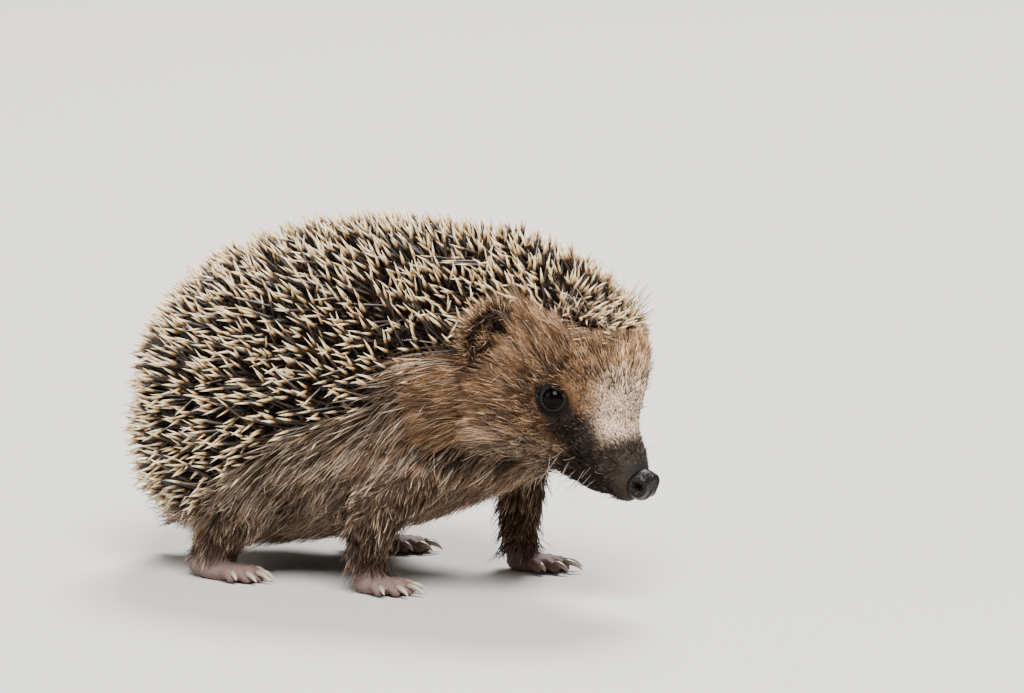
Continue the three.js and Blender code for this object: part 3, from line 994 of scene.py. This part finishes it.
# %% Grow the fur
def hair_forms(roots, lift, loose, limits, random):
    count = len(roots.at)
    along = lie(roots)
    first = unit(along + roots.normal * lift * 1.6 + random.normal(0, loose, (count, 3)))
    last = unit(along + roots.normal * lift * 0.55 + random.normal(0, loose * 1.2, (count, 3)))
    outward = np.maximum(dot(first + last, roots.normal) / 2, 0.12)
    needed = reach(roots.at, unit(first + last), roots.normal, roots["depth"] * MM / outward)
    length = np.clip(needed * random.uniform(0.75, 1.15, count), *limits)
    return first, last, length


RAGGED = 1.0 * MM
PEPPER_SHARE = 0.14
HAIR_SIDES = 3
BATCHES = 40
HAIR_SUNK = 0.25 * MM
UNSTUCK, STUCK = 1.5 * MM, 5 * MM


def fur(
    name, number, density, random, lift, loose, limits, girth, taper, lock_spacing, draw, pale,
    pieces=1, shorten=None, tint=SANDY,
):
    """One kind of hair over the part of the skin where its density is above zero."""
    guides = flesh.scatter(number // 2, density, random)
    guides = guides.only(spaced(guides.at, lock_spacing))
    lead_first, lead_last, lead_length = hair_forms(guides, lift, loose * 1.3, limits, random)
    lead_tip = guides.at + lead_length[:, None] * (lead_first + (lead_last - lead_first) / 2)
    lead_shade = random.random(len(guides.at))
    roots = flesh.scatter(number, density, random)
    first, last, length = hair_forms(roots, lift, loose, limits, random)
    if shorten is not None:
        length *= shorten(roots.at)
    nearest = np.concatenate([
        np.argmin(((part[:, None] - guides.at[None]) ** 2).sum(-1), axis=1)
        for part in np.array_split(roots.at, BATCHES)
    ])
    shade = np.clip(0.5 * random.random(len(roots.at)) + 0.5 * lead_shade[nearest], 0, 1)
    mask = {key: roots[key] for key in ("mantle", "head", "leg", "foot", "tail")}
    coat = markings(roots.at + random.normal(0, RAGGED, roots.at.shape), mask)
    under_quills = mask["mantle"] > 0.5
    coat[under_quills] = BUFF
    pale_hair = random.random(len(roots.at)) < pale
    coat[pale_hair] = mixed(coat[pale_hair], tint, 0.8 * rise(0.04, 0.2, coat[pale_hair, 0]))
    odd = random.random(len(roots.at)) < PEPPER_SHARE
    coat[odd] = mixed(coat[odd], PEPPER, 0.75)
    ranked = np.argsort(roots.at[:, 0])
    for index, part in enumerate(np.array_split(ranked, pieces), 1):
        made = strands(
            name if pieces == 1 else f"{name}_{index}", roots.at[part] - roots.normal[part] * HAIR_SUNK,
            first[part], last[part], length[part], girth * random.uniform(0.75, 1.25, len(part)), taper, HAIR_SIDES,
            roots.uv[part], shade[part], coat[part], shared_tip=lead_tip[nearest[part]],
            draw=draw * random.uniform(0.5, 1.0, len(part)) * rise(UNSTUCK, STUCK, length[part]),
        )
    print(name, len(roots.at), "hairs in", len(guides.at), "locks, mean mm:", (length.mean() / MM).round(1))


# %% [markdown]
# ## Where hair is short or missing
#
# Hair is short beside the eye and the nose and in front of the ear, so that they show. A furrow of short hair
# parts the cheek from the neck. There is none on the lids, on the nose pad or in the hollow of the ear. Guard
# hairs stand a little past the rest of the coat, and the lowest hair of the flank hangs past the belly.


# %% Lengths and bare spots
FURROW = [(-22, 2), (-13, 3), (-7, 1), (-1.5, -1.5), (1, -4), (3, -7.5)]


def ahead_of_furrow(at):
    """Millimetres ahead of the furrow, which is given as (up, forward); large where it doesn't run."""
    forward, sideways, up = in_head(at).T
    beyond = np.max([rise(12, 9, np.abs(sideways)), rise(2, 5, up), rise(-17, -20, up)], axis=0)
    return forward - np.interp(up, *np.transpose(FURROW)) + 40 * beyond


def clear_of_face(at):
    """The share of its length that hair keeps beside the eye, the nose, the ear and the furrow."""
    ear_front = (HEAD_AXES[2] * 4 + HEAD_AXES[0] * 3) * MM
    by_ear = np.min([np.linalg.norm(at - ear_middle[side] - ear_front, axis=1) for side in SIDES], axis=0)
    ahead = ahead_of_furrow(at)
    share = 0.25 + 0.75 * rise(4.5 * MM, 9 * MM, from_eyes(at))
    share *= 0.4 + 0.6 * rise(4.5 * MM, 9 * MM, from_nose(at))
    share *= 0.45 + 0.55 * rise(4 * MM, 10 * MM, by_ear)
    return share * np.where(ahead > -1, 0.45 + 0.55 * rise(0, 8, ahead), 1)


def past_outline(at):
    return 1.3


def hanging(at):
    return 1 + 0.35 * rise(30 * MM, 18 * MM, at[:, 2])


def bare_spots(at):
    """1 where hair may grow, 0 on the lids, on the nose and inside the ears."""
    outside_ear = np.ones(len(at))
    for side in SIDES:
        _, onward, upright = ((at - ear_middle[side]) @ ear_axes[side].T).T
        near_ear = np.linalg.norm(at - ear_middle[side], axis=1) < 12 * MM
        outside_ear *= 1 - near_ear * rise(1.1, 0.8, np.hypot((onward - 1 * MM) / (5.5 * MM), upright / (8 * MM)))
    bare = (3.8 + 1.4 * rise(-8, -4, in_head(at)[:, 2])) * MM
    return rise(3.6 * MM, 4.4 * MM, from_eyes(at)) * rise(0, 1.0 * MM, from_nose(at) - bare) * outside_ear


forward_of_skull = in_head(flesh.points)[:, 0]
haired = (1 - rise(0.5, 0.9, skin_mask["foot"])) * bare_spots(flesh.points)
on_face = rise(0.4, 0.75, skin_mask["head"]) * haired * (1 - 0.9 * bump(ahead_of_furrow(flesh.points), 0, 1.5))
furred_body = (1 - skin_mask["head"]) * haired * (1 - rise(0.35, 0.85, skin_mask["mantle"]))
on_legs = np.maximum(skin_mask["leg"], skin_mask["tail"])

on_muzzle = rise(13, 17, forward_of_skull)
at_edge = rise(0.05, 0.3, skin_mask["mantle"]) * rise(0.8, 0.5, skin_mask["mantle"])
print("share of the skin with hair:", round(float((haired > 0.5).mean()), 2))

# %% [markdown]
# ## The six kinds of fur
#
# The muzzle's hair is short, the face's longer and the flank's the longest, with pale ashen tips. Two thin
# fringes of lifted hair break up the smooth edge of the face and the line where the quills end.

# %% Fur of each part
ASHEN = np.array([0.68, 0.52, 0.38])
PLAIN, FRINGE = [0.8, 1.0, 0.7], [0.8, 1.0, 0.9, 0.6]

fur(
    "muzzle_fur", 16000, on_face * on_muzzle, random,
    lift=0.34, loose=0.24, limits=(1.8 * MM, 6 * MM), girth=0.19 * MM, taper=[1.0, 0.75], lock_spacing=1.8 * MM,
    draw=0.45, pale=0.15, shorten=clear_of_face,
)
fur(
    "face_fur", 22000, on_face * (1 - on_muzzle), random,
    lift=0.38, loose=0.22, limits=(2 * MM, 14 * MM), girth=0.18 * MM, taper=PLAIN, lock_spacing=2.4 * MM,
    draw=0.62, pale=0.25, pieces=3, shorten=clear_of_face,
)
fur(
    "flank_fur", 17000, furred_body * (1 - 0.75 * on_legs), random,
    lift=0.42, loose=0.2, limits=(5 * MM, 23 * MM), girth=0.24 * MM, taper=[0.7, 1.0, 0.9, 0.6],
    lock_spacing=3.0 * MM, draw=0.6, pale=0.4, pieces=3, shorten=hanging, tint=ASHEN,
)
fur(
    "leg_fur", 7500, furred_body * on_legs, random,
    lift=0.36, loose=0.14, limits=(2 * MM, 6.5 * MM), girth=0.2 * MM, taper=PLAIN,
    lock_spacing=2.0 * MM, draw=0.4, pale=0.15, tint=ASHEN,
)
fur(
    "face_fringe", 1700, on_face * rise(28, 14, forward_of_skull), random,
    lift=1.1, loose=0.3, limits=(3 * MM, 10 * MM), girth=0.16 * MM, taper=FRINGE,
    lock_spacing=3.0 * MM, draw=0.3, pale=0.5, shorten=past_outline,
)
fur(
    "flank_fringe", 1800, (furred_body + 2 * at_edge * haired) * (1 - on_legs), random,
    lift=0.8, loose=0.35, limits=(7 * MM, 18 * MM), girth=0.17 * MM, taper=FRINGE,
    lock_spacing=4.0 * MM, draw=0.3, pale=0.7, shorten=past_outline, tint=ASHEN,
)

# %% [markdown]
# ## Hair of the ears
#
# Short hair covers the back of each ear and fringes its rim. Most of it streams outwards, and some leans in over
# the hollow.

# %% Ear hair
EAR_HAIRS = 2000
for side in SIDES:
    shell = Surface(ears[side])
    local = (shell.points - ear_middle[side]) @ ear_axes[side].T / MM
    faces_out = (shell.normals @ ear_axes[side].T)[:, 0]
    behind = 0.1 + rise(0.1, -0.35, faces_out) + 2 * rise(-1.2, 0.6, local[:, 0]) + 1.5 * rise(1, -2.5, local[:, 1])
    roots = shell.scatter(EAR_HAIRS, behind * (local[:, 2] > -7), random)
    from_middle = (roots.at - ear_middle[side]) @ ear_axes[side].T / MM
    rim = rise(-1.5, 0.6, from_middle[:, 0])[:, None]
    away = unit(from_middle * [0, 1, 1]) @ ear_axes[side] * random.choice([1.0, 1.0, -0.7], EAR_HAIRS)[:, None]
    outwards = ear_axes[side][0] * 0.45 * rim
    first = unit(roots.normal * 0.4 + away * (0.3 + 0.5 * rim) + outwards - HEAD_AXES[0] * 0.35)
    first = unit(first + random.normal(0, 0.25, (EAR_HAIRS, 3)))
    last = unit(first + ear_axes[side][2] * 0.2 - HEAD_AXES[0] * 0.35 + random.normal(0, 0.2, (EAR_HAIRS, 3)))
    made = strands(
        "ear_fur_" + side, roots.at - roots.normal * 0.2 * MM, first, last,
        random.uniform(2.2, 6, EAR_HAIRS) * MM, 0.2 * MM * random.uniform(0.75, 1.2, EAR_HAIRS), PLAIN, HAIR_SIDES,
        roots.uv, random.random(EAR_HAIRS),
        mixed(np.tile(TAN * 0.8, (EAR_HAIRS, 1)), SANDY, random.random(EAR_HAIRS) ** 2 * 0.9),
    )
print("ear hairs:", len(SIDES) * EAR_HAIRS)

# %% [markdown]
# ## Hair of the brow
#
# At the front of the crown a few long pale hairs stand up among the quills and lean forwards.

# %% Brow hair
BROW_HAIRS = 70
forward, sideways, up = in_head(flesh.points).T
brow_line = rise(0.15, 0.4, skin_mask["mantle"]) * rise(0.95, 0.7, skin_mask["mantle"]) * rise(2, 10, forward)
roots = flesh.scatter(BROW_HAIRS, brow_line, random)
first = unit(roots.normal * 0.9 + HEAD_AXES[0] * 0.35 + random.normal(0, 0.28, (BROW_HAIRS, 3)))
last = unit(first + HEAD_AXES[2] * 0.35 + random.normal(0, 0.2, (BROW_HAIRS, 3)))
needed = reach(roots.at, first, roots.normal, roots["depth"] * MM)
length = np.clip(needed * random.uniform(1.0, 1.9, BROW_HAIRS), 7 * MM, 17 * MM)
brow_hair = strands(
    "brow_fur", roots.at, first, last, length,
    np.full(BROW_HAIRS, 0.28 * MM), [0.8, 1.0, 0.8, 0.5], HAIR_SIDES, roots.uv, random.random(BROW_HAIRS),
    mixed(np.tile(TAN, (BROW_HAIRS, 1)), CREAM, random.random(BROW_HAIRS)),
)
print("brow hairs:", BROW_HAIRS)

# %% [markdown]
# ## Whiskers
#
# Long fine hairs stand in three rows on the pads beside the nose. The top row rises a little and the others
# droop. A ray from beside the muzzle finds the place of each on the skin.

# %% Whiskers
WHISKERS_IN_ROW = 4
FIRST_WHISKER, WHISKER_GAP, ROW_SHIFT = 33.5, 3.6, 0.9
TOP_ROW, ROW_DROP, START_ASIDE = -8.2, 1.3, 12
WHISKER_RISE = [0.3, -0.8, -1.2]
WHISKER_TAPER, WHISKER_SIDES = [1.0, 0.9, 0.8, 0.65, 0.5, 0.35], 4
MAP_MIDDLE = 0.5
skin_tree = BVHTree.FromObject(skin, bpy.context.evaluated_depsgraph_get())
whisker_at, whisker_out, whisker_rise = [], [], []
for sign in SIDES.values():
    for row, row_rise in enumerate(WHISKER_RISE):
        for number in range(WHISKERS_IN_ROW):
            forward = FIRST_WHISKER - WHISKER_GAP * number - ROW_SHIFT * row + random.normal(0, 0.6)
            spot = from_head(forward, sign * START_ASIDE, TOP_ROW - ROW_DROP * row)
            inward = (from_head(forward, 0, TOP_ROW - row) - spot).normalized()
            hit, normal, _, _ = skin_tree.ray_cast(spot, inward)
            whisker_at.append(hit)
            whisker_out.append(normal)
            whisker_rise.append(row_rise)
whisker_at, whisker_out = np.array(whisker_at), np.array(whisker_out)
count = len(whisker_at)
upward = HEAD_AXES[2] * np.array(whisker_rise)[:, None]
swept = HEAD_AXES[0] * random.uniform(-0.45, 0.2, count)[:, None]
first = unit(whisker_out * 0.8 + swept + upward * 0.6 + random.normal(0, 0.09, (count, 3)))
last = unit(whisker_out * 0.5 + swept * 0.8 + upward + random.normal(0, 0.12, (count, 3)))
whiskers = strands(
    "whiskers", whisker_at - whisker_out * 0.3 * MM, first, last, random.uniform(9, 16, count) * MM,
    np.full(count, 0.12 * MM), WHISKER_TAPER, WHISKER_SIDES, np.full((count, 2), MAP_MIDDLE),
    random.random(count), np.tile(CREAM, (count, 1)),
)
print("whiskers:", count)

# %% [markdown]
# ## Claws
#
# Each claw is a smooth bent horn from its toe to its own tip. Its solid gives both ends: the tip is its point
# farthest from the foot, and the root is the middle of its points nearest to the foot.

# %% Claws
CLAW_TAPER, CLAW_SIDES = [0.8, 1.0, 1.0, 0.93, 0.85, 0.74, 0.6, 0.42, 0.22], 10
CLAW_GIRTH, CLAW_SUNK = 1.5 * MM, 0.8 * MM
CLAW_COLOUR = np.array([[0.42, 0.34, 0.26]])
claw_nodes = sorted(node for node in frame["nodes"] if "claw" in node)
for node in claw_nodes:
    spots = read(frame["nodes"][node].data.vertices, "co")
    foot_middle = np.array(middle(node.split("_claw")[0]))
    far = np.linalg.norm((spots - foot_middle)[:, :2], axis=1)
    root = spots[far < np.quantile(far, 0.3)].mean(0)
    way = spots[np.argmax(far)] - root
    length = np.linalg.norm(way)
    rear = root - unit(way) * CLAW_SUNK
    first = unit(way + np.array([0, 0, 0.4]) * length)
    last = unit(way - np.array([0, 0, 0.75]) * length)
    claw = strands(
        node + "_horn", rear[None], first[None], last[None], np.array([length + CLAW_SUNK]),
        np.array([CLAW_GIRTH]), CLAW_TAPER, CLAW_SIDES, np.full((1, 2), MAP_MIDDLE), random.random(1), CLAW_COLOUR,
    )
    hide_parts(node)
print("claws:", len(claw_nodes))

# %% [markdown]
# ## Materials
#
# A small class wraps a node's output so that arithmetic on it makes the nodes. Everything reads attributes that
# the pieces carry or the object's own coordinates.


# %% Node arithmetic
class Value:
    """A socket of a material, with arithmetic that adds the nodes for it."""

    def __init__(self, tree, socket):
        self.tree, self.socket = tree, socket

    def node(self, kind, settings=None, output=0, **inputs):
        made = self.tree.nodes.new(kind)
        for key, value in (settings or {}).items():
            setattr(made, key, value)
        for key, value in inputs.items():
            slot = made.inputs[int(key[1:])] if key[1:].isdigit() else made.inputs[key.replace("_", " ")]
            wire(self.tree, slot, value)
        return Value(self.tree, made.outputs[output])

    def math(self, operation, other):
        return self.node("ShaderNodeMath", {"operation": operation}, i0=self, i1=other)

    def __add__(self, other):
        return self.math("ADD", other)

    def __mul__(self, other):
        return self.math("MULTIPLY", other)

    def __sub__(self, other):
        return self.math("SUBTRACT", other)

    def __rsub__(self, other):
        return self.math("MULTIPLY", -1.0).math("ADD", other)

    __radd__, __rmul__ = __add__, __mul__

    def rise(self, low, high):
        """0 below low, 1 above high, and a smooth step between."""
        return self.node("ShaderNodeMapRange", {"interpolation_type": "SMOOTHSTEP"}, i0=self, i1=low, i2=high)

    def mix(self, a, b):
        """A colour between a and b, with this value as the share of b."""
        return self.node("ShaderNodeMix", {"data_type": "RGBA"}, output=2, i0=self, i6=a, i7=b)

    def scaled(self, share):
        """This colour times a value."""
        return self.node("ShaderNodeVectorMath", {"operation": "SCALE"}, i0=self, i3=share)


def wire(tree, slot, value):
    """Links a value to a socket, or sets a constant there; a colour may leave out its fourth number."""
    if isinstance(value, Value):
        tree.links.new(value.socket, slot)
    elif isinstance(value, tuple) and len(value) == 3 and len(slot.default_value) == 4:
        slot.default_value = (*value, 1.0)
    else:
        slot.default_value = value


class Material:
    """A new material with its shader's fixed inputs set, and ways to read what the pieces carry."""

    def __init__(self, name, **fixed):
        self.made = bpy.data.materials.new(name)
        self.made.use_nodes = True
        self.tree = self.made.node_tree
        self.shader = self.tree.nodes["Principled BSDF"]
        self.start = Value(self.tree, None)
        self.set(**fixed)

    def attribute(self, name, output=2):
        return self.start.node("ShaderNodeAttribute", {"attribute_name": name}, output=output)

    def place(self):
        return self.start.node("ShaderNodeTexCoord", output=3)

    def noise(self, scale, detail=2.0):
        return self.start.node("ShaderNodeTexNoise", i0=self.place(), Scale=scale, Detail=detail)

    def set(self, **inputs):
        for key, value in inputs.items():
            wire(self.tree, self.shader.inputs[key.replace("_", " ")], value)

    def raised(self, height, depth):
        self.set(Normal=self.start.node("ShaderNodeBump", Height=height, Distance=depth))

    def on(self, *parts):
        """Puts the material on every piece whose name holds one of the parts."""
        pieces = [made for made in bpy.data.objects if any(part in made.name for part in parts)]
        for each in pieces:
            each.data.materials.clear()
            each.data.materials.append(self.made)
        print(self.made.name, "is on", len(pieces), "pieces")


# %% [markdown]
# ### Quills and hair
#
# A quill is brown at its foot, then nearly black, then golden for a moment and cream for its last three
# millimetres. Its bands start at slightly different places on each. A hair takes the coat's colour at its root,
# is in shade near the skin, and varies in lightness from hair to hair. A whisker is brown at its root and pale at
# its tip.

# %% Coat materials
DARK_QUILL, BROWN_QUILL, QUILL_FOOT = (0.007, 0.0045, 0.0035), (0.035, 0.02, 0.011), (0.2, 0.14, 0.09)
GOLD_BAND, DULL_TIP, BRIGHT_TIP = (0.33, 0.18, 0.07), (0.74, 0.55, 0.29), (0.95, 0.8, 0.52)
quill = Material("quill", Specular_IOR_Level=0.5)
along, shade = quill.attribute("along"), quill.attribute("shade")
from_tip = quill.attribute("from_tip") - shade * 0.9
shaft = (shade * 1.3 - 0.15).mix(DARK_QUILL, BROWN_QUILL)
shaft = along.rise(0.3, 0.16).mix(shaft, QUILL_FOOT)
banded = from_tip.rise(3.7, 2.8).mix(shaft, GOLD_BAND)
quill.set(Base_Color=from_tip.rise(2.9, 1.5).mix(banded, shade.mix(DULL_TIP, BRIGHT_TIP)), Roughness=0.34)
quill.on("quills")

hair = Material("hair", Specular_IOR_Level=0.12)
along, shade = hair.attribute("along"), hair.attribute("shade")
pale_tip = along.rise(0.45, 0.95) * shade.rise(0.45, 0.85)
lightness = (along.rise(0.1, 1.0) * 0.95 + 0.05) * (shade * 1.45 + 0.2) * (pale_tip + 1.0)
hair.set(Base_Color=hair.attribute("coat", 0).scaled(lightness), Roughness=0.5)
hair.on("_fur", "_fringe")

whisker = Material("whisker", Specular_IOR_Level=0.4, Roughness=0.4)
whisker.set(Base_Color=whisker.attribute("along").mix((0.2, 0.15, 0.11), (0.62, 0.55, 0.45)))
whisker.on("whiskers")

# %% [markdown]
# ### Skin, nose, ears, eyes and claws
#
# The bare skin is finely pebbled. The nose is black, wet and grained. The eye is a clear hard gloss over
# near-black.

# %% Skin materials
hide = Material("hide", Roughness=0.6, Specular_IOR_Level=0.1)
grain = hide.noise(2200.0, 3.0)
hide.set(Base_Color=hide.attribute("coat", 0).scaled(grain * 0.6 + 0.7))
hide.raised(grain, 0.12 * MM)
hide.on("skin")

wet = Material("wet nose", Specular_IOR_Level=0.17)
cells = wet.start.node("ShaderNodeTexVoronoi", {"feature": "DISTANCE_TO_EDGE"}, i0=wet.place(), Scale=2600.0)
wet.set(Base_Color=wet.noise(500.0).rise(0.3, 0.7).mix((0.003, 0.0025, 0.0025), (0.008, 0.0065, 0.006)))
wet.set(Roughness=wet.attribute("hole").rise(0.1, 0.5) * 0.7 + 0.17)
wet.raised(cells.rise(0.0, 0.25), 0.05 * MM)
wet.on("nose_pad")

bead = Material("eye", Roughness=0.05, Specular_IOR_Level=0.07)
bead.set(Base_Color=(0.0015, 0.001, 0.0008, 1.0))
bead.on("eyeball")

leather = Material("ear", Roughness=0.65, Specular_IOR_Level=0.25)
leather.set(Base_Color=leather.noise(900.0).mix((0.012, 0.008, 0.007), (0.035, 0.024, 0.019)))
leather.raised(leather.noise(1800.0, 3.0), 0.1 * MM)
leather.on("ear_shell")

horn = Material("claw", Roughness=0.35, Specular_IOR_Level=0.5)
horn.set(Base_Color=horn.attribute("along").mix((0.17, 0.12, 0.09), (0.5, 0.42, 0.32)))
horn.on("_horn")

# %% [markdown]
# ## Floor
#
# The floor is pale, plain and flat, and so large that its far edge is out of sight. It belongs to the stage and
# not to the animal.

# %% Floor
FLOOR_SIZE = 12.0
FLOOR_COLOUR = (0.54, 0.52, 0.49)
ground = bmesh.new()
bmesh.ops.create_grid(ground, x_segments=1, y_segments=1, size=FLOOR_SIZE)
floor = show(as_mesh(ground, "floor"), "floor")
pale = Material("floor", Roughness=0.8)
pale.set(Base_Color=FLOOR_COLOUR)
pale.on("floor")

# %% [markdown]
# ## Light
#
# A large soft key light stands high and a little to the right of the camera, a wide weak fill to its left, and a
# third light behind picks out the quill tips. Each is given by its angles and distance from the animal, its size
# and its watts. The world adds a little warm light from all round, so that no shadow is black.

# %% Light
LOOK_AT = Vector((0.02933, 0.00141, 0.0603))
LAMPS = {"key": (38, 52, 3.3, 1.7, 292), "fill": (-35, 25, 3.9, 2.4, 56), "back": (200, 50, 3.3, 1.2, 230)}
WORLD_COLOUR, WORLD_STRENGTH = (1.0, 0.97, 0.93, 1.0), 0.18


def aimed(made, azimuth, elevation, distance):
    """Puts a lamp or a camera at its angles and distance, turned towards the animal."""
    a, e = math.radians(azimuth), math.radians(elevation)
    way = Vector((math.sin(a) * math.cos(e), -math.cos(a) * math.cos(e), math.sin(e)))
    made.location = LOOK_AT + way * distance
    made.rotation_euler = (LOOK_AT - made.location).to_track_quat("-Z", "Y").to_euler()
    bpy.context.scene.collection.objects.link(made)
    return made


for name, (azimuth, elevation, distance, size, watts) in LAMPS.items():
    lamp = bpy.data.lights.new(name, "AREA")
    lamp.size, lamp.energy = size, watts
    aimed(bpy.data.objects.new(name, lamp), azimuth, elevation, distance)
world = bpy.data.worlds.new("studio")
world.use_nodes = True
background = world.node_tree.nodes["Background"]
background.inputs["Color"].default_value = WORLD_COLOUR
background.inputs["Strength"].default_value = WORLD_STRENGTH
bpy.context.scene.world = world
print("lamps:", ", ".join(LAMPS))

# %% [markdown]
# ## Camera
#
# The camera looks at the animal from its front right and only a little from above. The lens is long, so that the
# head isn't drawn larger than the body behind it, and everything is in focus.

# %% Camera
LENS = 211
CAMERA_AZIMUTH, CAMERA_ELEVATION, CAMERA_DISTANCE = 30, 8, 1.5
camera = bpy.data.cameras.new("camera")
camera.lens = LENS
camera.clip_start, camera.clip_end = 0.05, 20
viewer = bpy.data.objects.new("camera", camera)
bpy.context.scene.camera = aimed(viewer, CAMERA_AZIMUTH, CAMERA_ELEVATION, CAMERA_DISTANCE)
print("camera at", [round(x, 3) for x in viewer.location])
